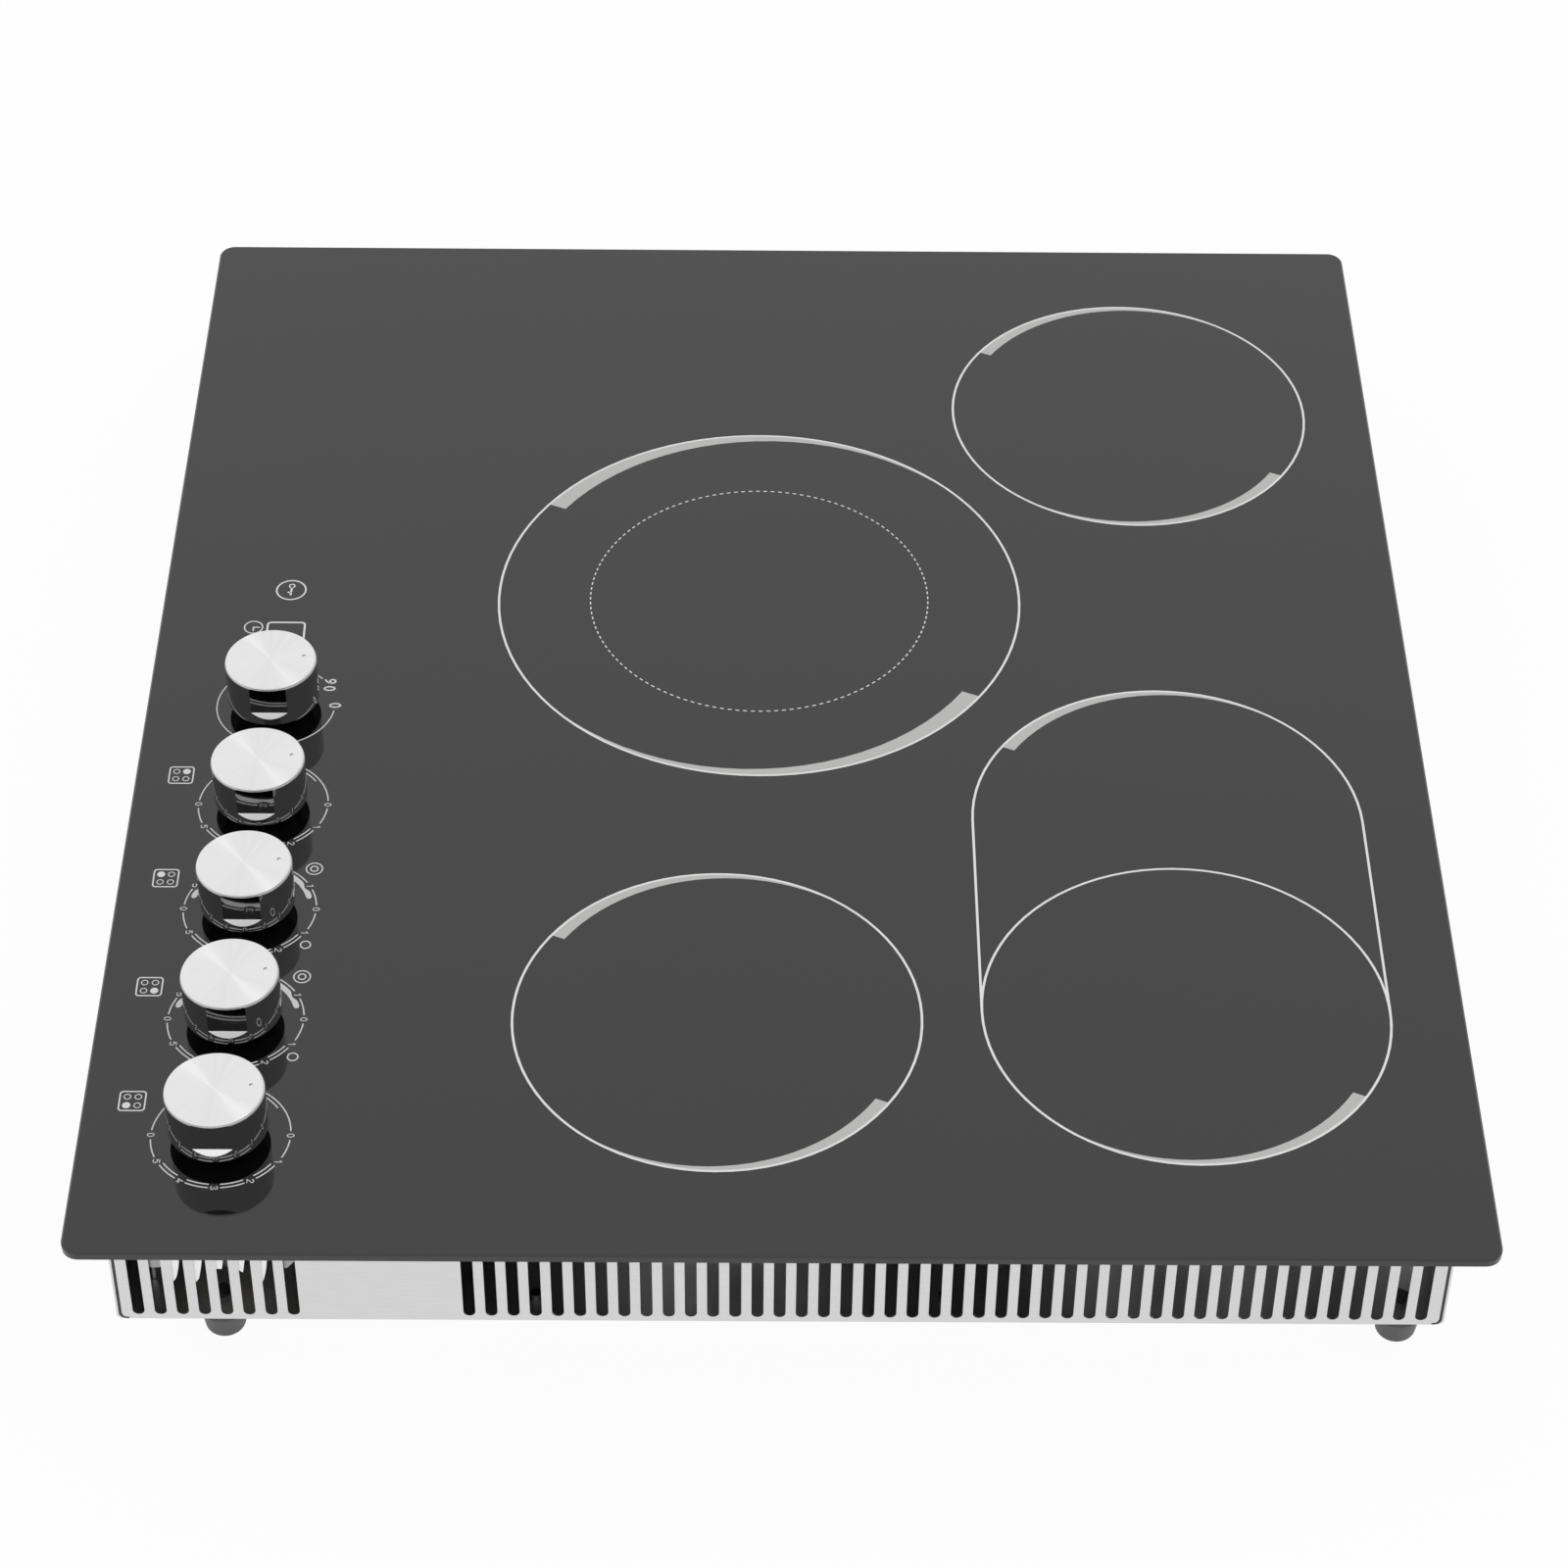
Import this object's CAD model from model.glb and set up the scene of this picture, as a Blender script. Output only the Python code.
"""A built-in ceramic glass hob: four cooking zones, five knobs and a slotted steel casing."""

import math

import bmesh
import bpy
from mathutils import Matrix, Vector


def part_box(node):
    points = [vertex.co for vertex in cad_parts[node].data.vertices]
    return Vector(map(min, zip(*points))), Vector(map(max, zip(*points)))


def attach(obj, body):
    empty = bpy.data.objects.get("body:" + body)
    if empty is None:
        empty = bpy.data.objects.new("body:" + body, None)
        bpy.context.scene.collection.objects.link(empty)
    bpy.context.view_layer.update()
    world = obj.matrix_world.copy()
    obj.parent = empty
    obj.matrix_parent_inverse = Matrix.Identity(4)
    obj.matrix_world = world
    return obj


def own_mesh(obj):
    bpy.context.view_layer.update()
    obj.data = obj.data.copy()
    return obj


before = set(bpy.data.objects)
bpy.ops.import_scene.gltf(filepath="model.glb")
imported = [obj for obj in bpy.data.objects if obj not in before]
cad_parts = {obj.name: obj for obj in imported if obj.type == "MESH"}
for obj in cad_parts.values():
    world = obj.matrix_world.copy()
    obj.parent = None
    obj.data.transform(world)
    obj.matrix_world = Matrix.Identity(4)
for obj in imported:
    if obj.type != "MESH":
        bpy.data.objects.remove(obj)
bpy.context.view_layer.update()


# ---- Camera ----
# The hob is seen from its right-hand end, from above at a little over forty degrees,
# with its knobs on the left.

camera_place = Vector((1.27662, -0.01070, 1.22060))
camera_right = Vector((0.00104, 0.99997, 0.00889))
camera_down = Vector((0.68373, 0.00578, -0.72978))
camera_forward = Vector((-0.72980, 0.00684, -0.68370))
camera_data = bpy.data.cameras.new("hob_camera")
camera_data.lens = 97.36
camera_data.sensor_width = 36
camera = bpy.data.objects.new("hob_camera", camera_data)
bpy.context.scene.collection.objects.link(camera)
camera_axes = Matrix((camera_right, -camera_down, -camera_forward)).transposed().to_4x4()
camera.matrix_world = Matrix.Translation(camera_place) @ camera_axes
bpy.context.scene.camera = camera
bpy.context.scene.view_settings.view_transform = "Standard"


# ---- Bottom tray ----
# A folded tray of zinc-coated sheet steel, rolled along its length, that carries everything
# under the glass. Its floor is punched for air, and its flanges take the bead of silicone.


def new_group(name, inputs, outputs):
    """A shader node group with named sockets, and its two end nodes."""
    group = bpy.data.node_groups.new(name, "ShaderNodeTree")
    for socket, kind, value in inputs:
        made = group.interface.new_socket(socket, in_out="INPUT", socket_type=kind)
        made.default_value = value
    for socket, kind in outputs:
        group.interface.new_socket(socket, in_out="OUTPUT", socket_type=kind)
    return group, group.nodes.new("NodeGroupInput"), group.nodes.new("NodeGroupOutput")


def set_or_link(tree, socket, value):
    """A constant on a socket, or a link from another socket into it."""
    if isinstance(value, bpy.types.NodeSocket):
        tree.links.new(value, socket)
    else:
        socket.default_value = value


def mix_node(tree, data_type, factor, first, second):
    """The output of one mix, from two constants or sockets."""
    mix = tree.nodes.new("ShaderNodeMix")
    mix.data_type = data_type
    for name, value in (("Factor", factor), ("A", first), ("B", second)):
        set_or_link(tree, mix.inputs[name], value)
    return mix.outputs["Result"]


def grain_group():
    """Two tones and two finishes, mixed by a noise that can be drawn out along one axis."""
    color, number, vector = "NodeSocketColor", "NodeSocketFloat", "NodeSocketVector"
    group, given, made = new_group(
        "grain",
        [
            ("Light", color, (0.8, 0.8, 0.8, 1)),
            ("Dark", color, (0.6, 0.6, 0.6, 1)),
            ("Per Metre", vector, (400, 400, 400)),
            ("Smooth", number, 0.3),
            ("Rough", number, 0.4),
        ],
        [("Color", color), ("Roughness", number), ("Height", number)],
    )
    nodes, links = group.nodes, group.links
    where = nodes.new("ShaderNodeTexCoord")
    spread = nodes.new("ShaderNodeVectorMath")
    spread.operation = "MULTIPLY"
    links.new(where.outputs["Object"], spread.inputs[0])
    links.new(given.outputs["Per Metre"], spread.inputs[1])
    noise = nodes.new("ShaderNodeTexNoise")
    noise.inputs["Scale"].default_value = 1
    noise.inputs["Detail"].default_value = 4
    links.new(spread.outputs["Vector"], noise.inputs["Vector"])
    share = noise.outputs["Fac"]
    tone = mix_node(group, "RGBA", share, given.outputs["Dark"], given.outputs["Light"])
    finish = mix_node(group, "FLOAT", share, given.outputs["Smooth"], given.outputs["Rough"])
    links.new(tone, made.inputs["Color"])
    links.new(finish, made.inputs["Roughness"])
    links.new(share, made.inputs["Height"])
    return group


grain = grain_group()


def new_material(name):
    """A material, its node tree and its shader."""
    material = bpy.data.materials.new(name)
    material.use_nodes = True
    return material, material.node_tree, material.node_tree.nodes["Principled BSDF"]


def add_relief(tree, shader, height, distance):
    """A bump on a shader, from a height that changes over the surface."""
    bump = tree.nodes.new("ShaderNodeBump")
    bump.inputs["Distance"].default_value = distance
    tree.links.new(height, bump.inputs["Height"])
    tree.links.new(bump.outputs["Normal"], shader.inputs["Normal"])


def finish_of(name, light, dark, per_metre, smooth, rough, relief, **constant):
    """A material whose tone, gloss and relief come from the grain group."""
    material, tree, shader = new_material(name)
    for socket, value in constant.items():
        shader.inputs[socket.replace("_", " ")].default_value = value
    surface = tree.nodes.new("ShaderNodeGroup")
    surface.node_tree = grain
    surface.inputs["Light"].default_value = (*light, 1)
    surface.inputs["Dark"].default_value = (*dark, 1)
    surface.inputs["Per Metre"].default_value = per_metre
    surface.inputs["Smooth"].default_value = smooth
    surface.inputs["Rough"].default_value = rough
    tree.links.new(surface.outputs["Color"], shader.inputs["Base Color"])
    tree.links.new(surface.outputs["Roughness"], shader.inputs["Roughness"])
    add_relief(tree, shader, surface.outputs["Height"], relief)
    return material


def dress(material, *names):
    """The material on these nodes of the frame, in place of what they had."""
    for name in names:
        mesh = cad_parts[name].data
        mesh.materials.clear()
        mesh.materials.append(material)


zinc_sheet = finish_of(
    "zinc_sheet",
    light=(0.765, 0.765, 0.765),
    dark=(0.635, 0.635, 0.64),
    per_metre=(900, 120, 2200),
    smooth=0.30,
    rough=0.42,
    relief=0.00002,
    Metallic=1.0,
)
dress(zinc_sheet, "bottom_tray", "side_panel_left", "side_panel_right")


# ---- Corner seams and slot tabs ----
# The side panels meet the tray's walls in narrow dark seams, where the cut edges of the sheet show.
# Punching has left bright tabs in some of the front slots, and two ears of the switch frame
# hang behind others.

MM = 0.001  # the outlines below are in millimetres
PANEL_LOW, PANEL_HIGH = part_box("side_panel_right")
SLOT_INSET = 7.2
SLOT_PITCH = 8.1
SLOT_HALF = 2.2
SLOT_TOP = 48.8
SHEET = 0.8
SEAM_IN, SEAM_OUT = 0.1 * MM, 0.06 * MM
# A seam's lower end: distance in from the panel's end, and height above its lower edge.
SEAM_FOOT = (
    (0, 1.8), (0.35, 0.5), (1.1, -0.33), (2.4, -0.72), (3.4, -0.72), (3.4, 0.1), (2.3, 0.1),
    (1.5, 0.5), (0.9, 1.9),
)
TAB_BEHIND = (0.5 * MM, 0.02 * MM)
TAB_ROOT, TAB_SLANT = 1, 0.4
EAR_BEHIND = (1.8 * MM, 1.0 * MM)
EAR_TOP = 70

seam_dark = finish_of(
    "seam_dark",
    light=(0.04, 0.04, 0.04),
    dark=(0.01, 0.01, 0.01),
    per_metre=(60, 900, 60),
    smooth=0.4,
    rough=0.6,
    relief=0.00005,
)
tab_steel = finish_of(
    "tab_steel",
    light=(0.95, 0.95, 0.95),
    dark=(0.88, 0.88, 0.88),
    per_metre=(900, 900, 900),
    smooth=0.45,
    rough=0.6,
    relief=0.00001,
    Metallic=1.0,
)
ear_steel = finish_of(
    "ear_steel",
    light=(0.42, 0.42, 0.42),
    dark=(0.32, 0.32, 0.32),
    per_metre=(900, 900, 300),
    smooth=0.35,
    rough=0.5,
    relief=0.00002,
    Metallic=1.0,
)


def object_from(name, mesh, material):
    """A new object in the scene from a bmesh, which is freed, with one material."""
    bmesh.ops.recalc_face_normals(mesh, faces=mesh.faces)
    data = bpy.data.meshes.new(name)
    mesh.to_mesh(data)
    mesh.free()
    data.materials.append(material)
    made = bpy.data.objects.new(name, data)
    bpy.context.scene.collection.objects.link(made)
    return made


def sheet_piece(name, outlines, inner, outer, material):
    """Flat sheet in the plane of a side panel, from outlines of Y and Z in millimetres."""
    mesh = bmesh.new()
    for outline in outlines:
        near = [mesh.verts.new((outer, y * MM, z * MM)) for y, z in outline]
        far = [mesh.verts.new((inner, y * MM, z * MM)) for y, z in outline]
        mesh.faces.new(near)
        mesh.faces.new(far[::-1])
        for i in range(len(outline)):
            j = (i + 1) % len(outline)
            mesh.faces.new((near[i], far[i], far[j], near[j]))
    piece = object_from(name, mesh, material)
    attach(piece, "hob")


def seam_outline(end):
    """The cut edges beside a panel, in millimetres, with a short foot under its corner."""
    edge = PANEL_HIGH.y / MM * end
    low, high = PANEL_LOW.z / MM, PANEL_HIGH.z / MM
    foot = [(edge - across * end, low + up) for across, up in SEAM_FOOT]
    return [(edge, high), *foot, (foot[-1][0], high)]


for side in (-1, 1):
    face = PANEL_HIGH.x * side
    for end in (-1, 1):
        sheet_piece(
            f"corner_seam_{'left' if side < 0 else 'right'}_{'front' if end < 0 else 'rear'}",
            [seam_outline(end)],
            face - SEAM_IN * side,
            face + SEAM_OUT * side,
            seam_dark,
        )


def slot_y(number):
    """The middle of a slot, counted from the front, in millimetres."""
    return PANEL_LOW.y / MM + SLOT_INSET + (number - 1) * SLOT_PITCH


# For each slot with a tab, the tab's rim: distance from the slot's front edge, and height.
TABS = {
    3: (
        (3.1, SLOT_TOP), (2.95, 45.5), (2.55, 42.5), (1.92, 39.25), (1.42, 36.95), (0.85, 35.6),
        (0, 34.1),
    ),
    4: ((3.15, SLOT_TOP), (3.05, 45.5), (2.5, 41.9), (1.75, 38), (1.25, 35.7), (0, 33.7)),
    5: ((2.75, SLOT_TOP), (2.6, 45.6), (1.9, 41.2), (0, 41.2)),
    6: ((2.5, SLOT_TOP), (2.3, 45.6), (1.35, 39.3), (0, 40.4)),
    7: ((2.5, SLOT_TOP), (2.3, 45.7), (1.85, 42.1), (1.25, 38.8), (0.65, 36.2), (0, 34.2)),
}
tab_outlines = []
for number, shape in TABS.items():
    edge = slot_y(number) - SLOT_HALF
    rim = [(edge + across, z) for across, z in shape]
    root = [(edge - TAB_ROOT, rim[-1][1] + TAB_SLANT), (edge - TAB_ROOT, SLOT_TOP)]
    tab_outlines.append(rim + root)
panel_inside = PANEL_HIGH.x - SHEET * MM
sheet_piece(
    "slot_tabs",
    tab_outlines,
    panel_inside - TAB_BEHIND[0],
    panel_inside - TAB_BEHIND[1],
    tab_steel,
)
# The slot that each ear shows through, and its lower rim: distance from the slot's middle,
# and height.
EARS = {
    "bracket_ear_front": (2, ((-3.8, 41.7), (-1.5, 40.7), (1.3, 40.8), (3.7, 42.8))),
    "bracket_ear_rear": (8, ((-3.4, 40.5), (-1.1, 40.8), (2.5, 45.5), (4.1, 48.3))),
}
for name, (number, shape) in EARS.items():
    rim = [(slot_y(number) + across, z) for across, z in shape]
    sheet_piece(
        name,
        [[(rim[0][0], EAR_TOP), *rim, (rim[-1][0], EAR_TOP)]],
        panel_inside - EAR_BEHIND[0],
        panel_inside - EAR_BEHIND[1],
        ear_steel,
    )


# ---- Rubber feet ----
# Four moulded black rubber feet, each held by a screw through the tray's floor near a corner.
# Handling and dust leave them a soft dark grey.

foot_rubber = finish_of(
    "foot_rubber",
    light=(0.105, 0.105, 0.105),
    dark=(0.07, 0.07, 0.07),
    per_metre=(700, 700, 700),
    smooth=0.42,
    rough=0.6,
    relief=0.00006,
)
dress(foot_rubber, "rubber_feet")


# ---- Rails and springs ----
# Pressed steel rails lie along the tray, and leaf springs on them push the heaters up against
# the glass. The rails are plain zinc-coated strip, and the springs are blued spring steel.

rail_steel = finish_of(
    "rail_steel",
    light=(0.62, 0.62, 0.63),
    dark=(0.48, 0.48, 0.49),
    per_metre=(150, 1100, 1100),
    smooth=0.34,
    rough=0.5,
    relief=0.00002,
    Metallic=1.0,
)
spring_steel = finish_of(
    "spring_steel",
    light=(0.33, 0.34, 0.37),
    dark=(0.22, 0.23, 0.27),
    per_metre=(1300, 200, 1300),
    smooth=0.25,
    rough=0.4,
    relief=0.00001,
    Metallic=1.0,
)
dress(rail_steel, "heater_rails", "control_bracket")
dress(spring_steel, "heater_springs")


# ---- Heaters ----
# Each heater is an aluminised steel pan with a pressed bed of pale insulating fibre. A
# corrugated ribbon of dark resistance alloy stands in the bed, under a rod limiter with a
# ceramic head.

ZONES = ("rear_left", "big", "front_right", "rear_right")
pan_steel = finish_of(
    "pan_steel",
    light=(0.74, 0.73, 0.71),
    dark=(0.60, 0.59, 0.57),
    per_metre=(300, 300, 900),
    smooth=0.36,
    rough=0.55,
    relief=0.00003,
    Metallic=1.0,
)
insulating_fibre = finish_of(
    "insulating_fibre",
    light=(0.82, 0.80, 0.75),
    dark=(0.66, 0.63, 0.57),
    per_metre=(900, 900, 900),
    smooth=0.85,
    rough=1.0,
    relief=0.0005,
)
heating_ribbon = finish_of(
    "heating_ribbon",
    light=(0.25, 0.21, 0.18),
    dark=(0.13, 0.11, 0.10),
    per_metre=(1600, 1600, 500),
    smooth=0.45,
    rough=0.7,
    relief=0.0001,
    Metallic=1.0,
)
limiter_ceramic = finish_of(
    "limiter_ceramic",
    light=(0.78, 0.75, 0.68),
    dark=(0.66, 0.62, 0.55),
    per_metre=(500, 500, 500),
    smooth=0.5,
    rough=0.7,
    relief=0.00005,
)
for zone in ZONES:
    dress(pan_steel, f"heater_pan_{zone}")
    dress(insulating_fibre, f"insulation_{zone}")
    dress(heating_ribbon, f"heating_ribbon_{zone}")
dress(limiter_ceramic, "limiters")


# ---- Switches and timer ----
# Five moulded housings hang under the control bracket, each with a turning drum and a coil
# spring inside. The housings are pale heat-proof plastic, the drums are grey, and the springs
# are blued steel.

KNOBS = range(1, 6)
TIMER = 1

switch_plastic = finish_of(
    "switch_plastic",
    light=(0.70, 0.68, 0.62),
    dark=(0.61, 0.59, 0.53),
    per_metre=(350, 350, 350),
    smooth=0.38,
    rough=0.52,
    relief=0.00004,
)
drum_plastic = finish_of(
    "drum_plastic",
    light=(0.36, 0.37, 0.38),
    dark=(0.28, 0.29, 0.30),
    per_metre=(500, 500, 500),
    smooth=0.35,
    rough=0.5,
    relief=0.00003,
)
dress(switch_plastic, "timer_body", *[f"switch_body_{k}" for k in KNOBS if k != TIMER])
dress(drum_plastic, *[f"rotor_{k}" for k in KNOBS])

# A coil spring in each drum closes up as its knob is pushed.
for k in KNOBS:
    dress(spring_steel, f"push_spring_{k}")
    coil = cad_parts[f"push_spring_{k}"]
    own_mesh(coil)


# ---- Wiring ----
# Silicone-sleeved wires run from the mains terminal to the switches and heaters. The mains
# enters through a black nylon gland, and a small green board lies under the display window.

wire_sleeve = finish_of(
    "wire_sleeve",
    light=(0.20, 0.20, 0.20),
    dark=(0.13, 0.13, 0.13),
    per_metre=(2500, 2500, 2500),
    smooth=0.55,
    rough=0.75,
    relief=0.00015,
)
board_green = finish_of(
    "board_green",
    light=(0.05, 0.20, 0.085),
    dark=(0.025, 0.12, 0.05),
    per_metre=(1500, 300, 1500),
    smooth=0.25,
    rough=0.42,
    relief=0.00003,
)
terminal_plastic = finish_of(
    "terminal_plastic",
    light=(0.66, 0.61, 0.50),
    dark=(0.56, 0.51, 0.41),
    per_metre=(400, 400, 400),
    smooth=0.4,
    rough=0.55,
    relief=0.00004,
)
gland_nylon = finish_of(
    "gland_nylon",
    light=(0.035, 0.035, 0.037),
    dark=(0.018, 0.018, 0.019),
    per_metre=(900, 900, 900),
    smooth=0.32,
    rough=0.5,
    relief=0.00004,
)
dress(wire_sleeve, "wiring_loom")
dress(board_green, "control_board")
dress(terminal_plastic, "terminal_block")
dress(gland_nylon, "cable_gland")


# ---- Screws ----
# Blackened steel screws hold the feet, the panels, the rails and the switches.
# Handling has rubbed their edges a little brighter.

screw_steel = finish_of(
    "screw_steel",
    light=(0.20, 0.20, 0.20),
    dark=(0.08, 0.08, 0.08),
    per_metre=(2200, 2200, 2200),
    smooth=0.22,
    rough=0.42,
    relief=0.00003,
    Metallic=1.0,
)
dress(screw_steel, "screws")


# ---- Seals ----
# A foam tape seals the glass to the worktop, a bead of silicone bonds it to the casing,
# and a silicone ring closes the glass round each shaft.

foam_tape = finish_of(
    "foam_tape",
    light=(0.06, 0.06, 0.062),
    dark=(0.02, 0.02, 0.021),
    per_metre=(2600, 2600, 2600),
    smooth=0.85,
    rough=1.0,
    relief=0.0004,
)
silicone_bead = finish_of(
    "silicone_bead",
    light=(0.15, 0.15, 0.15),
    dark=(0.10, 0.10, 0.10),
    per_metre=(300, 300, 300),
    smooth=0.35,
    rough=0.5,
    relief=0.00008,
)
dress(foam_tape, "worktop_tape")
dress(silicone_bead, "glass_bond", "shaft_seals")


# ---- Glass ----
# A black ceramic-glass plate with a ground edge. It is polished on top,
# and fine dust and wiping leave its gloss a little uneven.

glass_black = finish_of(
    "glass_black",
    light=(0.0040, 0.0040, 0.0042),
    dark=(0.0024, 0.0024, 0.0025),
    per_metre=(14, 9, 14),
    smooth=0.025,
    rough=0.06,
    relief=0.000002,
    IOR=1.62,
)
dress(glass_black, "glass_top")


# ---- Zone print ----
# Each zone is printed on the glass in pale ceramic ink, fired on: a fine bright line,
# and two arcs in a greyer screened ink, each of them wider towards one end.

LINE_WIDTH = 0.00095
WEDGE_DEPTH = 0.0083
RIM_SLACK = 0.00005
PAN_MARGIN = 0.0012
OVAL_ZONE = "rear_right"
GRIT_PER_METRE = 2500

# The middle and radius of each ring, in metres, from the pan under it. The oval zone has one
# at either end.
RINGS = []
for zone in ZONES:
    pan_low, pan_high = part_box(f"heater_pan_{zone}")
    pan_r = (pan_high.y - pan_low.y) / 2
    RINGS.append((pan_high.x - pan_r, pan_high.y - pan_r, pan_r - PAN_MARGIN))
    if zone == OVAL_ZONE:
        RINGS.append((pan_low.x + pan_r, pan_high.y - pan_r, pan_r - PAN_MARGIN))


def math_node(tree, operation, first, second):
    """The output of one sum, from two values or sockets."""
    step = tree.nodes.new("ShaderNodeMath")
    step.operation = operation
    for socket, value in zip(step.inputs, (first, second)):
        set_or_link(tree, socket, value)
    return step.outputs["Value"]


def ink_group():
    """1 on the screened arcs, and 0 on the fine lines."""
    group, _, made = new_group(
        "screened_arcs", [], [("Mask", "NodeSocketFloat"), ("Height", "NodeSocketFloat")]
    )
    nodes, links = group.nodes, group.links
    where = nodes.new("ShaderNodeTexCoord")
    flat = nodes.new("ShaderNodeVectorMath")
    flat.operation = "MULTIPLY"
    flat.inputs[1].default_value = (1, 1, 0)
    links.new(where.outputs["Object"], flat.inputs[0])
    on_arc, on_line = 0.0, 0.0
    for x, y, radius in RINGS:
        away = nodes.new("ShaderNodeVectorMath")
        away.operation = "DISTANCE"
        away.inputs[1].default_value = (x, y, 0)
        links.new(flat.outputs["Vector"], away.inputs[0])
        depth = math_node(group, "SUBTRACT", radius, away.outputs["Value"])
        inside = math_node(group, "GREATER_THAN", depth, LINE_WIDTH)
        shallow = math_node(group, "LESS_THAN", depth, WEDGE_DEPTH)
        within_arc = math_node(group, "MULTIPLY", inside, shallow)
        on_arc = math_node(group, "MAXIMUM", on_arc, within_arc)
        past_rim = math_node(group, "GREATER_THAN", depth, -RIM_SLACK)
        at_line = math_node(group, "LESS_THAN", depth, LINE_WIDTH)
        within_line = math_node(group, "MULTIPLY", past_rim, at_line)
        on_line = math_node(group, "MAXIMUM", on_line, within_line)
    mask = math_node(group, "SUBTRACT", on_arc, on_line)
    links.new(math_node(group, "MAXIMUM", mask, 0.0), made.inputs["Mask"])
    grit = nodes.new("ShaderNodeTexNoise")
    grit.inputs["Scale"].default_value = GRIT_PER_METRE
    links.new(where.outputs["Object"], grit.inputs["Vector"])
    links.new(grit.outputs["Fac"], made.inputs["Height"])
    return group


LINE_TONE = (0.74, 0.74, 0.74, 1)
SCREEN_TONE = (0.47, 0.47, 0.465, 1)
INK_RELIEF = 0.00001

zone_ink, ink_tree, ink_shader = new_material("zone_ink")
ink_shader.inputs["Roughness"].default_value = 0.5
arcs = ink_tree.nodes.new("ShaderNodeGroup")
arcs.node_tree = ink_group()
ink_tone = mix_node(ink_tree, "RGBA", arcs.outputs["Mask"], LINE_TONE, SCREEN_TONE)
ink_tree.links.new(ink_tone, ink_shader.inputs["Base Color"])
add_relief(ink_tree, ink_shader, arcs.outputs["Height"], INK_RELIEF)
dress(zone_ink, "zone_print")


# ---- Dials and signs ----
# Round each knob the glass carries a printed dial: numbers with arcs between them, in the
# same fired ink. Small signs beside the knobs show which zone each one heats, the lock,
# the clock and the display window.

GLASS_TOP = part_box("glass_top")[1].z
INK_THICK = 0.00004
DUAL_KNOBS = (3, 4)
DIAL_SHIFT = 0.45

dial_ink = finish_of(
    "dial_ink",
    light=(0.76, 0.76, 0.76),
    dark=(0.68, 0.68, 0.68),
    per_metre=(2500, 2500, 2500),
    smooth=0.45,
    rough=0.55,
    relief=0.00001,
)


def by_knob(knob, x, y):
    """A point on the glass, in millimetres, at a distance from the middle of a knob."""
    cap_low, cap_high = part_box(f"knob_cap_{knob}")
    return (cap_low.x + cap_high.x) / 2 / MM + x, (cap_low.y + cap_high.y) / 2 / MM + y


def prism(mesh, outline, hole=None, low=GLASS_TOP):
    """A flat print, from an outline in millimetres, with a matching inner outline for a ring."""
    high = low + INK_THICK

    def rim(points, z):
        return [mesh.verts.new((x * MM, y * MM, z)) for x, y in points]

    outer_low, outer_high = rim(outline, low), rim(outline, high)
    count = len(outline)
    for i in range(count):
        j = (i + 1) % count
        mesh.faces.new((outer_low[i], outer_low[j], outer_high[j], outer_high[i]))
    if hole is None:
        mesh.faces.new(outer_high)
        mesh.faces.new(outer_low[::-1])
        return
    inner_low, inner_high = rim(hole, low), rim(hole, high)
    for i in range(count):
        j = (i + 1) % count
        mesh.faces.new((inner_low[j], inner_low[i], inner_high[i], inner_high[j]))
        mesh.faces.new((outer_high[i], outer_high[j], inner_high[j], inner_high[i]))
        mesh.faces.new((outer_low[j], outer_low[i], inner_low[i], inner_low[j]))


SAME_POINT = 1e-9
SHARPEST_MITRE = 0.5


def side_points(path, half, closed):
    """The two edges of a line of that half width along a path."""
    left, right = [], []
    count = len(path)
    for i, (x, y) in enumerate(path):
        before = path[i - 1] if closed or i > 0 else path[i]
        after = path[(i + 1) % count] if closed or i < count - 1 else path[i]
        turns = []
        for a, b in ((before, (x, y)), ((x, y), after)):
            length = math.hypot(b[0] - a[0], b[1] - a[1])
            if length > SAME_POINT:
                turns.append((-(b[1] - a[1]) / length, (b[0] - a[0]) / length))
        nx, ny = (sum(t[0] for t in turns), sum(t[1] for t in turns))
        size = math.hypot(nx, ny)
        nx, ny = nx / size, ny / size
        reach = half / max(nx * turns[0][0] + ny * turns[0][1], SHARPEST_MITRE)
        left.append((x + nx * reach, y + ny * reach))
        right.append((x - nx * reach, y - ny * reach))
    return left, right


def line(mesh, path, width, closed=False, low=GLASS_TOP):
    """A printed line along a path, with blunt round ends if it is open."""
    left, right = side_points(path, width / 2, closed)
    if closed:
        area = sum(a[0] * b[1] - b[0] * a[1] for a, b in zip(path, path[1:] + path[:1]))
        outer, inner = (right, left) if area > 0 else (left[::-1], right[::-1])
        prism(mesh, outer, inner, low)
        return

    def cap(at, toward):
        heading = math.atan2(at[1] - toward[1], at[0] - toward[0])
        return [
            (
                at[0] + width / 2 * math.cos(heading + turn),
                at[1] + width / 2 * math.sin(heading + turn),
            )
            for turn in (-math.pi / 4, 0, math.pi / 4)
        ]

    prism(mesh, right + cap(path[-1], path[-2]) + left[::-1] + cap(path[0], path[1]), low=low)


ARC_STEP = 2.5
CURVE_STEPS = 6


def arc(centre, radius, start, stop):
    """Points on a circle. Angles are clockwise from the rear, as on a dial."""
    steps = max(int(abs(stop - start) / ARC_STEP), 2)
    return [
        (
            centre[0] + radius * math.sin(math.radians(start + (stop - start) * i / steps)),
            centre[1] + radius * math.cos(math.radians(start + (stop - start) * i / steps)),
        )
        for i in range(steps + 1)
    ]


def circle(centre, radius):
    """Points round a circle, each once."""
    return arc(centre, radius, 360, 0)[:-1]


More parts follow.
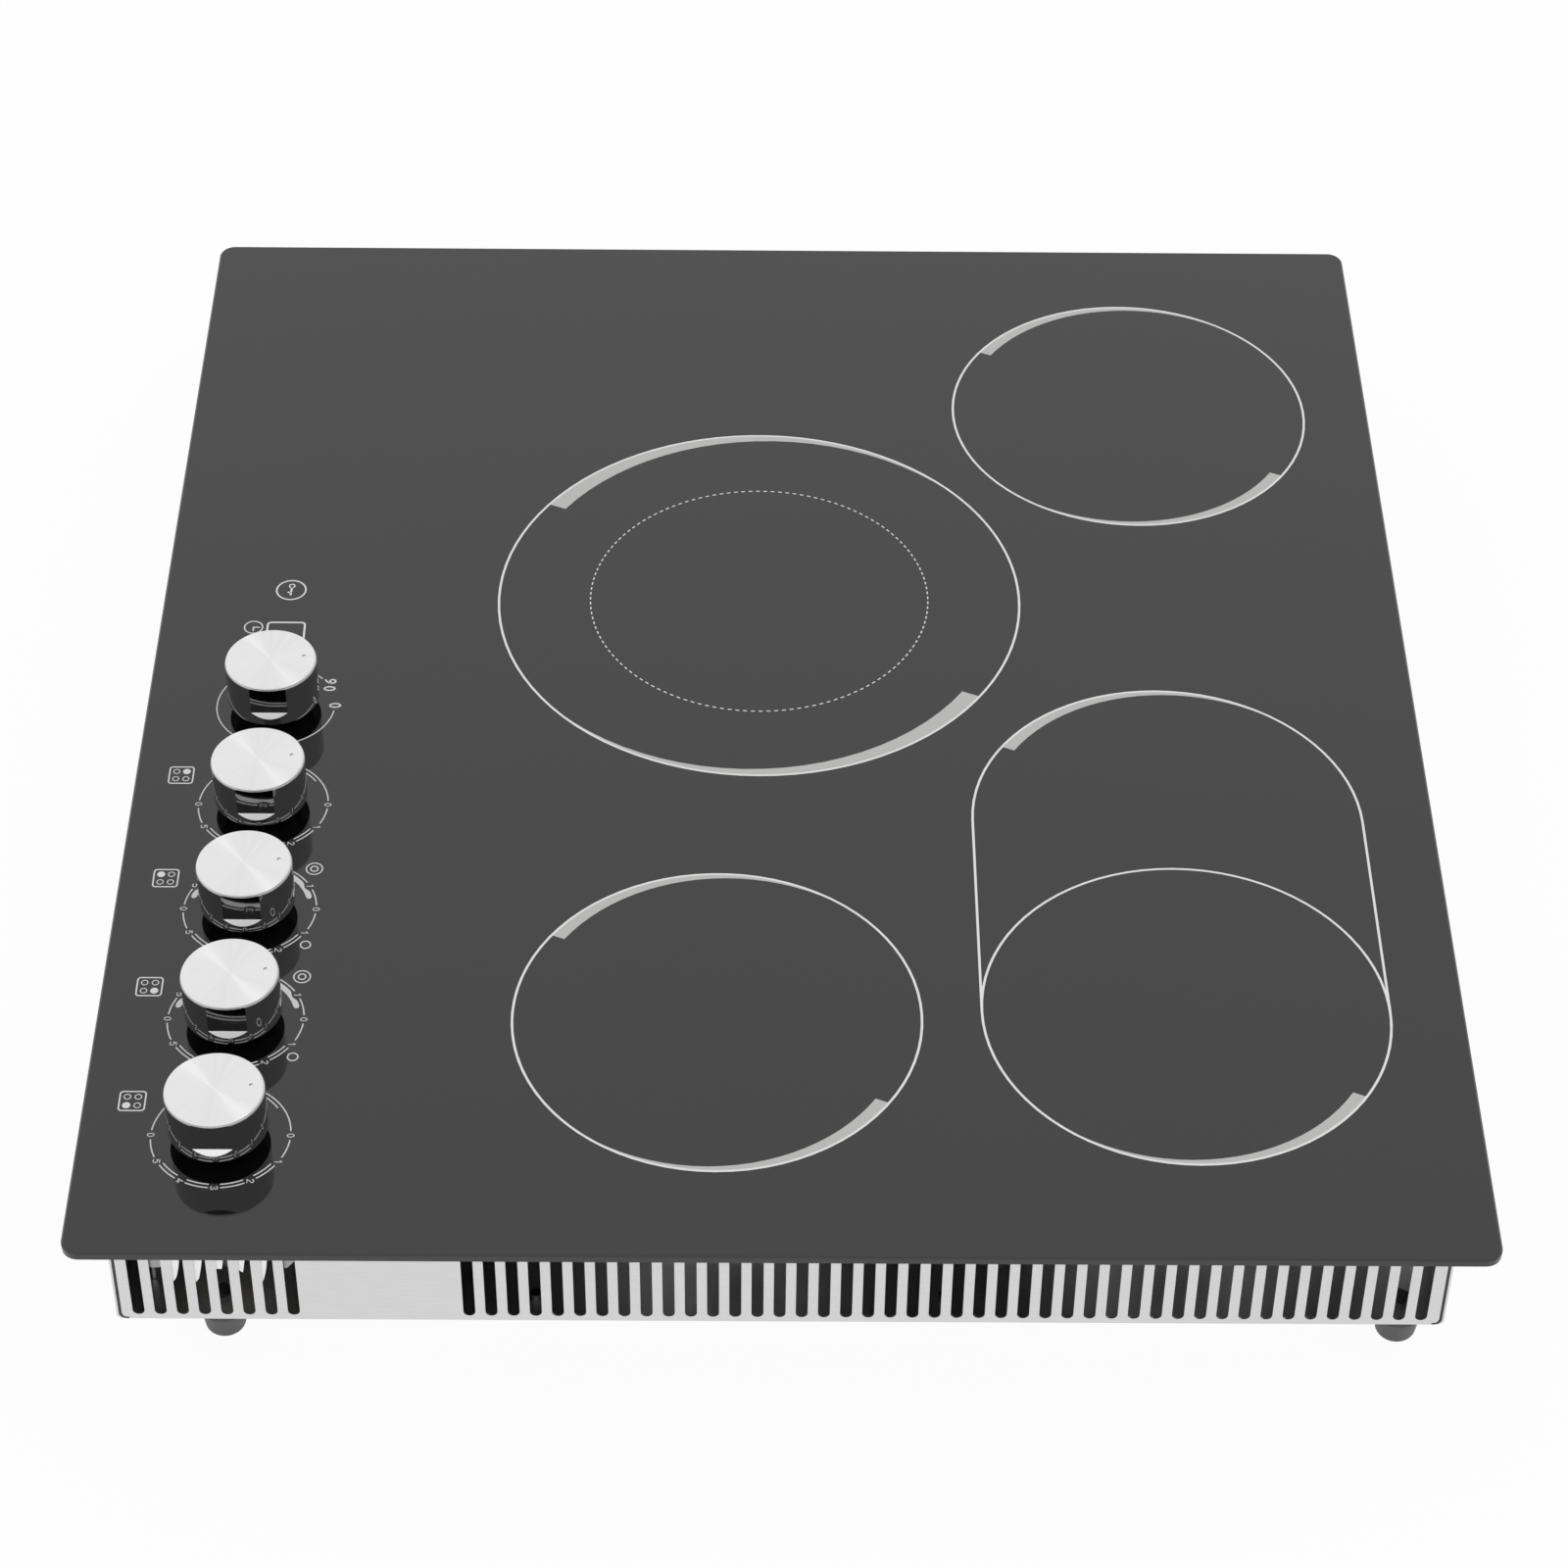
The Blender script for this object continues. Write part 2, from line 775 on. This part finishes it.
def curve(points):
    """A smooth line through a few points."""
    ends = [points[0], *points, points[-1]]
    made = []
    for a, b, c, d in zip(ends, ends[1:], ends[2:], ends[3:]):
        for i in range(CURVE_STEPS):
            t = i / CURVE_STEPS
            made.append(
                tuple(
                    0.5
                    * (
                        2 * b[n]
                        + (c[n] - a[n]) * t
                        + (2 * a[n] - 5 * b[n] + 4 * c[n] - d[n]) * t * t
                        + (3 * b[n] - a[n] - 3 * c[n] + d[n]) * t**3
                    )
                    for n in (0, 1)
                )
            )
    return [*made, points[-1]]


# The strokes of each digit, in shares of its height. The ring of 0 is closed.
ZERO = [
    (0.26 * math.cos(math.radians(a)), 0.5 * math.sin(math.radians(a))) for a in range(0, 360, 15)
]
TWO = curve([(-0.24, 0.28), (-0.12, 0.46), (0.08, 0.49), (0.24, 0.34), (0.2, 0.1), (-0.24, -0.46)])
THREE = curve(
    [(-0.24, 0.36), (0, 0.5), (0.22, 0.34), (0.14, 0.1), (-0.06, 0.03)]
    + [(0.18, -0.06), (0.27, -0.28), (0.06, -0.49), (-0.25, -0.38)]
)
FIVE = curve([(-0.2, 0.07), (0.04, 0.14), (0.26, -0.05), (0.24, -0.34), (0, -0.49), (-0.25, -0.38)])
SIX = curve(
    [(0.2, 0.48), (-0.12, 0.25), (-0.25, -0.12), (-0.2, -0.4), (0, -0.5)]
    + [(0.22, -0.38), (0.24, -0.14), (0.06, 0.04), (-0.16, -0.08)]
)
DIGITS = {
    "1": [[(-0.16, 0.28), (0.06, 0.5), (0.06, -0.5)]],
    "2": [TWO + [(0.28, -0.48)]],
    "3": [THREE],
    "4": [[(0.12, 0.5), (-0.28, -0.2), (0.3, -0.2)], [(0.12, 0.02), (0.12, -0.5)]],
    "5": [[(0.24, 0.48), (-0.17, 0.48), (-0.22, 0.06)] + FIVE],
    "6": [SIX],
    "9": [[(-x, -y) for x, y in SIX]],
}


def digit(mesh, sign, at, height, width, wide=1.0):
    """One digit that reads from the front, with strokes of that width."""

    def place(points):
        return [(at[0] + x * height * wide, at[1] + y * height) for x, y in points]

    if sign == "0":
        line(mesh, place(ZERO), width, closed=True)
        return
    for path in DIGITS[sign]:
        line(mesh, place(path), width)


def dial_point(centre, radius, angle):
    """The point of a dial at that angle."""
    return arc(centre, radius, angle, angle + 1)[0]


def print_piece(name, draw):
    """A print on the glass, as a piece of its own, from what the draw function adds."""
    mesh = bmesh.new()
    draw(mesh)
    piece = object_from(name, mesh, dial_ink)
    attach(piece, "hob")


# The power dials, in millimetres and degrees. Places are from the middle of the knob.
DIAL_R = 25.3
DIAL_INNER_R = DIAL_R - 1.6
DIAL_LINE = 0.5
DIAL_STEP = 30
DIGIT_HEIGHT = 2.45
DIGIT_LINE = 0.34
DIGIT_WIDE = 1.2
DIGIT_GAP = 5.4
INNER_FROM, INNER_TO = -35, -145
DUAL_RINGS = ((-22.1, 23.3, 3.1), (-22.1, 23.3, 1.4), (19.1, 23.2, 1.9))

# The widening band inside the dual dials.
BAND_OUT = DIAL_R - 1.2
BAND_IN = DIAL_R - 3.4
BAND_END = 17
BAND_NOTCH = 7.5
BAND_DIP = 1.0
BAND_STEP = 2


def dial_number(mesh, centre, sign, angle):
    """One number of a power dial."""
    digit(mesh, sign, dial_point(centre, DIAL_R, angle), DIGIT_HEIGHT, DIGIT_LINE, DIGIT_WIDE)


def band_outline(centre):
    """The band inside a dual dial. It dips at each number, and its ends are round."""
    outside = []
    for angle in range(-BAND_END, -180 + BAND_END - 1, -BAND_STEP):
        near = min(abs(angle + mark) for mark in range(DIAL_STEP, 180, DIAL_STEP))
        dip = BAND_DIP * (0.5 + 0.5 * math.cos(math.pi * min(near / BAND_NOTCH, 1)))
        outside.append(dial_point(centre, BAND_OUT - dip, angle))
    back = range(-180 + BAND_END, -BAND_END + 1, BAND_STEP)
    inside = [dial_point(centre, BAND_IN, angle) for angle in back]
    middle, half = (BAND_OUT + BAND_IN) / 2, (BAND_OUT - BAND_IN) / 2
    ends = []
    for at, turn in ((-180 + BAND_END, -1), (-BAND_END, 1)):
        bulge = []
        for step in (45, 90, 135):
            lean = math.radians(step)
            beyond = math.degrees(half * math.sin(lean) / middle)
            radius = middle - turn * half * math.cos(lean)
            bulge.append(dial_point(centre, radius, at + turn * beyond))
        ends.append(bulge)
    return outside + ends[0] + inside + ends[1]


def larger_half(mesh, knob, centre):
    """1 to 5 for the larger heater of a dual or oval zone, with the band and small rings."""
    for angle, sign in zip(range(-DIAL_STEP, -180, -DIAL_STEP), "12345"):
        dial_number(mesh, centre, sign, angle)
    for angle in range(0, -180, -DIAL_STEP):
        start, stop = angle - DIGIT_GAP, angle - DIAL_STEP + DIGIT_GAP
        line(mesh, arc(centre, DIAL_R, start, stop), DIAL_LINE)
    prism(mesh, band_outline(centre))
    for x, y, radius in DUAL_RINGS:
        line(mesh, circle(by_knob(knob, x, y), radius), DIAL_LINE, closed=True)


def power_dial(mesh, knob):
    """0 to 5 and 0 again on one half, and plain arcs or the larger heater's scale on the other."""
    centre = by_knob(knob, 0, DIAL_SHIFT)
    for angle, sign in zip(range(0, 181, DIAL_STEP), "0123450"):
        dial_number(mesh, centre, sign, angle)
    for angle in range(0, 180, DIAL_STEP):
        start, stop = angle + DIGIT_GAP, angle + DIAL_STEP - DIGIT_GAP
        line(mesh, arc(centre, DIAL_R, start, stop), DIAL_LINE)
        if 0 < angle < 180 - DIAL_STEP:
            line(mesh, arc(centre, DIAL_INNER_R, start, stop), DIAL_LINE)
    if knob in DUAL_KNOBS:
        larger_half(mesh, knob, centre)
    else:
        line(mesh, arc(centre, DIAL_R, -DIGIT_GAP, -180 + DIGIT_GAP), DIAL_LINE)
        line(mesh, arc(centre, DIAL_INNER_R, INNER_FROM, INNER_TO), DIAL_LINE)


TIMER_R = 23.65
TIMER_FROM, TIMER_TO = 8, 317
TIMER_HEIGHT, TIMER_LINE = 4.15, 0.75
TIMER_DIGITS = (("0", 0, 24.15), ("9", -14.5, 21.15), ("0", -10.13, 21.15))


def timer_dial(mesh):
    """One long arc from the off stop, with 0 at its start and 90 near its end."""
    centre = by_knob(TIMER, 0, DIAL_SHIFT)
    line(mesh, arc(centre, TIMER_R, TIMER_FROM, TIMER_TO), DIAL_LINE)
    for sign, x, y in TIMER_DIGITS:
        digit(mesh, sign, by_knob(TIMER, x, y), TIMER_HEIGHT, TIMER_LINE)


SIGN_X, SIGN_Y = -16.5, -33.35
SIGN_HALF, SIGN_CORNER, SIGN_LINE = 4.7, 1.2, 0.55
DOT_X, DOT_Y = 2.1, 2.0
DOT_R, FILLED_R = 1.2, 1.5


def rounded_frame(corners, radius):
    """A closed path round corners, given as x, y and the angle at which each one starts."""
    path = []
    for x, y, start in corners:
        path += arc((x, y), radius, start, start - 90)
    return path


def zone_sign(mesh, knob, filled):
    """A rounded square with four dots for the zones, one of them filled."""
    reach = SIGN_HALF - SIGN_CORNER
    turns = ((1, 1, 90), (-1, 1, 0), (-1, -1, -90), (1, -1, -180))
    corners = [
        (*by_knob(knob, SIGN_X + across * reach, SIGN_Y + up * reach), start)
        for across, up, start in turns
    ]
    line(mesh, rounded_frame(corners, SIGN_CORNER), SIGN_LINE, closed=True)
    for row in (-1, 1):
        for side in (-1, 1):
            at = by_knob(knob, SIGN_X + row * DOT_X, SIGN_Y + side * DOT_Y)
            if (row, side) == filled:
                prism(mesh, circle(at, FILLED_R))
            else:
                line(mesh, circle(at, DOT_R), DIGIT_LINE, closed=True)


LOCK_X, LOCK_Y = -71.05, 0.6
LOCK_R, LOCK_LINE = 6.0, 0.65
KEY_BOW, KEY_BOW_R, KEY_BOW_LINE = (-2.6, 0.15), 1.1, 0.5
KEY_STEM, KEY_STEM_LINE = ((-1.35, 0.1), (2.95, -0.05)), 0.8
KEY_BIT, KEY_BIT_LINE = ((1.45, -0.1), (1.45, -1.2)), 0.7


def lock_sign(mesh):
    """A key in a ring: the ring, and the key's bow, stem and bit."""

    def at(x, y):
        return by_knob(TIMER, LOCK_X + x, LOCK_Y + y)

    line(mesh, circle(at(0, 0), LOCK_R), LOCK_LINE, closed=True)
    line(mesh, circle(at(*KEY_BOW), KEY_BOW_R), KEY_BOW_LINE, closed=True)
    line(mesh, [at(*end) for end in KEY_STEM], KEY_STEM_LINE)
    line(mesh, [at(*end) for end in KEY_BIT], KEY_BIT_LINE)


CLOCK_X, CLOCK_Y = -47.5, -12.9
CLOCK_R, CLOCK_LINE = 3.7, 0.5
LONG_HAND, SHORT_HAND, HAND_LINE = 2.4, 2.2, 0.55


def clock_sign(mesh):
    """A clock face with its two hands."""

    def at(x, y):
        return by_knob(TIMER, CLOCK_X + x, CLOCK_Y + y)

    line(mesh, circle(at(0, 0), CLOCK_R), CLOCK_LINE, closed=True)
    line(mesh, [at(0, LONG_HAND), at(0, 0), at(SHORT_HAND, 0)], HAND_LINE)


WINDOW_CORNERS = ((-30, 6.8, 90), (-49.1, 6.5, 0), (-49.1, -5.7, -90), (-30, -5.7, -180))
WINDOW_CORNER_R, WINDOW_LINE = 1.5, 0.8


def window_sign(mesh):
    """The frame round the display window."""
    corners = [(*by_knob(TIMER, x, y), start) for x, y, start in WINDOW_CORNERS]
    line(mesh, rounded_frame(corners, WINDOW_CORNER_R), WINDOW_LINE, closed=True)


print_piece("timer_dial", timer_dial)
FILLED = {2: (-1, 1), 3: (-1, -1), 4: (1, 1), 5: (1, -1)}
for knob, filled in FILLED.items():
    print_piece(f"power_dial_{knob}", lambda mesh, k=knob: power_dial(mesh, k))
    print_piece(f"zone_sign_{knob}", lambda mesh, k=knob, f=filled: zone_sign(mesh, k, f))
print_piece("lock_sign", lock_sign)
print_piece("clock_sign", clock_sign)
print_piece("window_sign", window_sign)


# ---- Shafts and knobs ----
# Each knob is a chromed zinc cup with two flat grips, pushed onto a steel shaft.
# A disc of spun aluminium with a bright cut rim closes its top.

shaft_steel = finish_of(
    "shaft_steel",
    light=(0.66, 0.66, 0.66),
    dark=(0.5, 0.5, 0.5),
    per_metre=(900, 900, 3000),
    smooth=0.2,
    rough=0.34,
    relief=0.00001,
    Metallic=1.0,
)
knob_chrome = finish_of(
    "knob_chrome",
    light=(0.43, 0.43, 0.435),
    dark=(0.38, 0.38, 0.385),
    per_metre=(60, 60, 40),
    smooth=0.035,
    rough=0.075,
    relief=0.000002,
    Metallic=1.0,
)

LEDGE_UP_FROM, LEDGE_UP_TO = 0.3, 0.9
LEDGE_TONE = (0.93, 0.93, 0.93, 1)
LEDGE_ROUGH = 0.5


def ledge_group():
    """1 on faces that lean outward and up, and 0 on walls and tops."""
    group, _, made = new_group("ledges", [], [("Mask", "NodeSocketFloat")])
    nodes, links = group.nodes, group.links
    surface = nodes.new("ShaderNodeNewGeometry")
    split = nodes.new("ShaderNodeSeparateXYZ")
    links.new(surface.outputs["True Normal"], split.inputs["Vector"])
    leaning = math_node(group, "GREATER_THAN", split.outputs["Z"], LEDGE_UP_FROM)
    not_flat = math_node(group, "LESS_THAN", split.outputs["Z"], LEDGE_UP_TO)
    links.new(math_node(group, "MULTIPLY", leaning, not_flat), made.inputs["Mask"])
    return group


# The ledges are left satin, so they catch the light from above.
chrome_tree = knob_chrome.node_tree
chrome_shader = chrome_tree.nodes["Principled BSDF"]
ledges = chrome_tree.nodes.new("ShaderNodeGroup")
ledges.node_tree = ledge_group()
for socket, data_type, ledge_value in (
    ("Base Color", "RGBA", LEDGE_TONE),
    ("Roughness", "FLOAT", LEDGE_ROUGH),
):
    plain = chrome_shader.inputs[socket].links[0].from_socket
    on_ledge = mix_node(chrome_tree, data_type, ledges.outputs["Mask"], plain, ledge_value)
    chrome_tree.links.new(on_ledge, chrome_shader.inputs[socket])


def spun_group():
    """Fine turning rings round the middle of a disc, with faint rays where the tool lifted."""
    group, given, made = new_group(
        "spun_rings",
        [("Rings", "NodeSocketFloat", 50.0)],
        [("Height", "NodeSocketFloat"), ("Rays", "NodeSocketFloat")],
    )
    nodes, links = group.nodes, group.links
    where = nodes.new("ShaderNodeTexCoord")
    centred = nodes.new("ShaderNodeVectorMath")
    centred.operation = "SUBTRACT"
    centred.inputs[1].default_value = (0.5, 0.5, 0)
    links.new(where.outputs["Generated"], centred.inputs[0])
    split = nodes.new("ShaderNodeSeparateXYZ")
    links.new(centred.outputs["Vector"], split.inputs["Vector"])
    flat = nodes.new("ShaderNodeCombineXYZ")
    links.new(split.outputs["X"], flat.inputs["X"])
    links.new(split.outputs["Y"], flat.inputs["Y"])
    away = nodes.new("ShaderNodeVectorMath")
    away.operation = "LENGTH"
    links.new(flat.outputs["Vector"], away.inputs[0])
    turns = math_node(group, "MULTIPLY", away.outputs["Value"], given.outputs["Rings"])
    angle = math_node(group, "ARCTAN2", split.outputs["Y"], split.outputs["X"])
    for along, scale, detail, output in ((turns, 1, 2, "Height"), (angle, 5, 3, "Rays")):
        noise = nodes.new("ShaderNodeTexNoise")
        noise.noise_dimensions = "1D"
        noise.inputs["Scale"].default_value = scale
        noise.inputs["Detail"].default_value = detail
        links.new(along, noise.inputs["W"])
        links.new(noise.outputs["Fac"], made.inputs[output])
    return group


CAP_DARK = (0.83, 0.83, 0.83, 1)
CAP_LIGHT = (0.89, 0.89, 0.89, 1)
CAP_RINGS = 160
CAP_RELIEF = 0.000004

cap_aluminium, cap_tree, cap_shader = new_material("cap_aluminium")
cap_shader.inputs["Metallic"].default_value = 1
cap_shader.inputs["Roughness"].default_value = 0.4
cap_shader.inputs["Anisotropic"].default_value = 0.93
cap_shader.inputs["Anisotropic Rotation"].default_value = 0.25
rings = cap_tree.nodes.new("ShaderNodeGroup")
rings.node_tree = spun_group()
rings.inputs["Rings"].default_value = CAP_RINGS
cap_tone = mix_node(cap_tree, "RGBA", rings.outputs["Rays"], CAP_DARK, CAP_LIGHT)
cap_tree.links.new(cap_tone, cap_shader.inputs["Base Color"])
add_relief(cap_tree, cap_shader, rings.outputs["Height"], CAP_RELIEF)
cap_tangent = cap_tree.nodes.new("ShaderNodeTangent")
cap_tangent.direction_type = "RADIAL"
cap_tangent.axis = "Z"
cap_tree.links.new(cap_tangent.outputs["Tangent"], cap_shader.inputs["Tangent"])

mark_ink = finish_of(
    "mark_ink",
    light=(0.12, 0.12, 0.12),
    dark=(0.05, 0.05, 0.05),
    per_metre=(4000, 4000, 4000),
    smooth=0.4,
    rough=0.6,
    relief=0.00001,
)
MARK_AT = (-1.8, 13.2)
MARK_R, MARK_LINE = 0.55, 0.42
MARK_FROM, MARK_TO = 165, 315
for k in KNOBS:
    dress(shaft_steel, f"shaft_{k}")
    dress(knob_chrome, f"knob_body_{k}")
    dress(cap_aluminium, f"knob_cap_{k}")
    cap_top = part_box(f"knob_cap_{k}")[1].z
    middle = by_knob(k, *MARK_AT)
    mark = bmesh.new()
    line(mark, arc(middle, MARK_R, MARK_FROM, MARK_TO), MARK_LINE, low=cap_top)
    mark_piece = object_from(f"knob_mark_{k}", mark, mark_ink)
    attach(mark_piece, f"knob_{k}")


# ---- Floor and light ----
# The hob stands on a plain white floor in an even white surround, with one lamp above it,
# so that gloss and metal show white, and the floor keeps a faint shadow.

SURROUND_LIGHTS, SURROUND_SHOWS = 0.92, 1.0
FLOOR_REACH = 12.0
FLOOR_Z = -0.0002
FLOOR_TONE = (0.9, 0.9, 0.9, 1)
FLOOR_ROUGH = 0.9
FLOOR_GLOW = 0.94

world = bpy.data.worlds.new("white_surround")
bpy.context.scene.world = world
world.use_nodes = True
world_tree = world.node_tree
world_nodes, world_links = world_tree.nodes, world_tree.links
world_shader = world_nodes["Background"]
world_shader.inputs["Color"].default_value = (1, 1, 1, 1)


def seen_directly(tree):
    """1 for camera, glossy and transmission rays, and 0 for the rest."""
    path = tree.nodes.new("ShaderNodeLightPath")
    seen = 0.0
    for kind in ("Camera", "Glossy", "Transmission"):
        seen = math_node(tree, "MAXIMUM", seen, path.outputs[f"Is {kind} Ray"])
    return seen


world_level = world_nodes.new("ShaderNodeMapRange")
world_level.inputs["To Min"].default_value = SURROUND_LIGHTS
world_level.inputs["To Max"].default_value = SURROUND_SHOWS
world_links.new(seen_directly(world_tree), world_level.inputs["Value"])
world_links.new(world_level.outputs["Result"], world_shader.inputs["Strength"])

floor_mesh = bpy.data.meshes.new("floor")
floor_corners = [
    (x * FLOOR_REACH, y * FLOOR_REACH, FLOOR_Z) for x, y in ((-1, -1), (1, -1), (1, 1), (-1, 1))
]
floor_mesh.from_pydata(floor_corners, [], [(0, 1, 2, 3)])
floor = bpy.data.objects.new("floor", floor_mesh)
bpy.context.scene.collection.objects.link(floor)
floor_white, floor_tree, floor_shader = new_material("floor_white")
floor_nodes, floor_links = floor_tree.nodes, floor_tree.links
floor_shader.inputs["Base Color"].default_value = FLOOR_TONE
floor_shader.inputs["Roughness"].default_value = FLOOR_ROUGH
floor_glow = floor_nodes.new("ShaderNodeEmission")
floor_glow.inputs["Strength"].default_value = 1.0
floor_mix = floor_nodes.new("ShaderNodeMixShader")
glow_share = math_node(floor_tree, "MULTIPLY", seen_directly(floor_tree), FLOOR_GLOW)
floor_links.new(glow_share, floor_mix.inputs["Fac"])
floor_links.new(floor_shader.outputs["BSDF"], floor_mix.inputs[1])
floor_links.new(floor_glow.outputs["Emission"], floor_mix.inputs[2])
floor_links.new(floor_mix.outputs["Shader"], floor_nodes["Material Output"].inputs["Surface"])
floor_mesh.materials.append(floor_white)


def lamp(name, place, size, watts):
    """A square lamp that faces the origin."""
    data = bpy.data.lights.new(name, "AREA")
    data.size = size
    data.energy = watts
    made = bpy.data.objects.new(name, data)
    made.location = place
    made.rotation_mode = "QUATERNION"
    made.rotation_quaternion = (-Vector(place)).to_track_quat("-Z", "Y")
    bpy.context.scene.collection.objects.link(made)


lamp("overhead_lamp", place=(0.05, 0.85, 2.3), size=0.6, watts=2.6)
